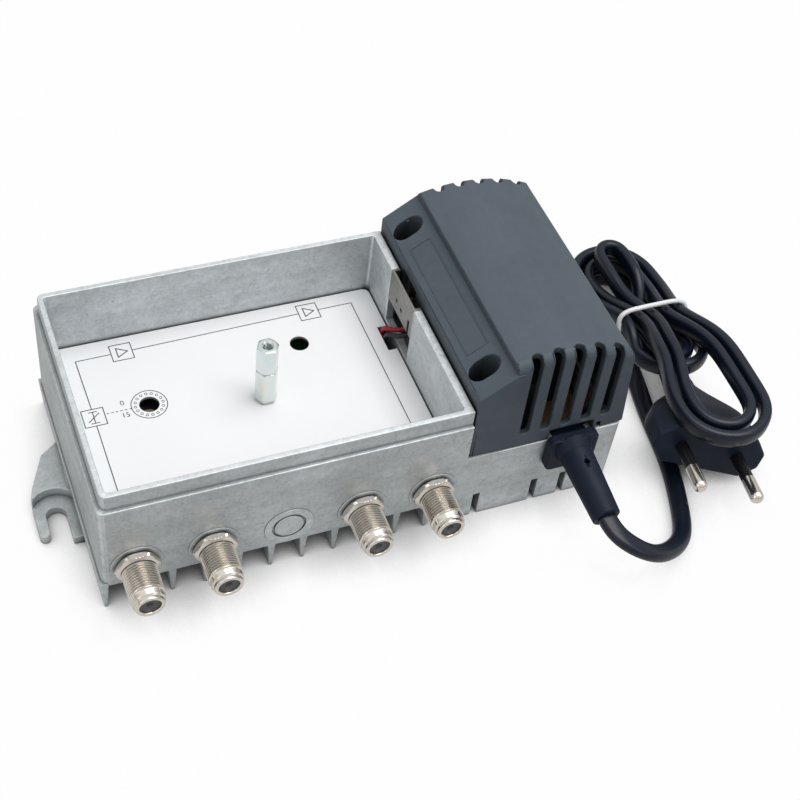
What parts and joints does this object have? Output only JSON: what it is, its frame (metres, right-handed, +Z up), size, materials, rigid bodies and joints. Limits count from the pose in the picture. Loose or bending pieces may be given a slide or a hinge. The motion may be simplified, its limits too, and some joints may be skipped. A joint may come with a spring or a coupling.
{
  "type": "tv signal amplifier",
  "caption": "Mains-powered TV signal amplifier: finned die-cast housing with an open amplifier bay, vented power supply hood, threaded coaxial ports and a tied cord with a flat plug.",
  "frame": {"origin": "middle of the housing's footprint with its lugs and ports, on the surface that the fins stand on", "axes": "+X along the housing towards the power supply, +Y from the ports to the back, +Z up"},
  "size_m": [0.2083, 0.12, 0.06],
  "materials": {
    "cast_aluminium": "as-cast die casting, lightly mottled, matt",
    "hood_plastic": "fine-grained moulded plastic",
    "screw_steel": "zinc-plated steel",
    "plate_white": null,
    "spacer_zinc": "bright zinc plate with a faint bluish cast",
    "board_green": "solder mask",
    "board_tan": "bare laminate",
    "module_black": "moulded package",
    "rotor_brown": "moulded plastic",
    "lens_red": "tinted lens",
    "bracket_steel": "tinned sheet steel",
    "wire_red": "wire insulation",
    "wire_black": "wire insulation",
    "port_nickel": "nickel plate on turned brass",
    "insulator_grey": "moulded plastic",
    "contact_brass": "plated contact",
    "ferrite": "sintered ferrite",
    "coil_tape": "polyester tape",
    "can_black": "shrink sleeve",
    "film_yellow": "moulded box",
    "fuse_body": "capped glass barrel",
    "bushing_dark": "moulded plastic",
    "cord_dark": "flexible sheath, dark blue-black",
    "plug_dark": "moulded plastic, dark blue-black",
    "pin_nickel": "nickel plate",
    "sleeve_black": "moulded sleeve",
    "tie_white": "soft white plastic"
  },
  "bodies": {
    "amplifier": {"housing": "cast_aluminium", "psu_cover": "hood_plastic", "cover_screws": "screw_steel", "deck_plate": "plate_white", "standoff_lower": "spacer_zinc", "standoff_upper": "spacer_zinc", "amplifier_board": "board_green", "board_screws": "screw_steel", "amplifier_module": "module_black", "attenuator_body": "module_black", "power_led": "lens_red", "shield_bracket": "bracket_steel", "supply_wire_plus": "wire_red", "supply_wire_minus": "wire_black", "psu_board": "board_tan", "psu_screws": "screw_steel", "transformer_core": "ferrite", "transformer_coil": "coil_tape", "input_capacitor": "can_black", "output_capacitor": "can_black", "suppression_capacitor": "film_yellow", "fuse": "fuse_body", "rectifier": "module_black", "strain_relief": "bushing_dark", "mains_lead": "cord_dark", "mains_hank": "cord_dark", "plug_lead": "cord_dark", "cable_tie": "tie_white", "plug_body": "plug_dark", "plug_pins": "pin_nickel", "plug_pin_sleeves": "sleeve_black", "port_body_1": "port_nickel", "port_nut_1": "port_nickel", "port_insulator_1": "insulator_grey", "port_contact_1": "contact_brass", "port_body_2": "port_nickel", "port_nut_2": "port_nickel", "port_insulator_2": "insulator_grey", "port_contact_2": "contact_brass", "port_body_3": "port_nickel", "port_nut_3": "port_nickel", "port_insulator_3": "insulator_grey", "port_contact_3": "contact_brass", "port_body_4": "port_nickel", "port_nut_4": "port_nickel", "port_insulator_4": "insulator_grey", "port_contact_4": "contact_brass"},
    "switch_rotor": {"attenuator_rotor": "rotor_brown"}
  },
  "joints": [
    {"name": "attenuator_turn", "type": "hinge", "parent": "amplifier", "child": "switch_rotor", "pos_m": [-0.0495, 0.0147, 0.0188], "axis": [0, 0, 1], "continuous": true}
  ]
}
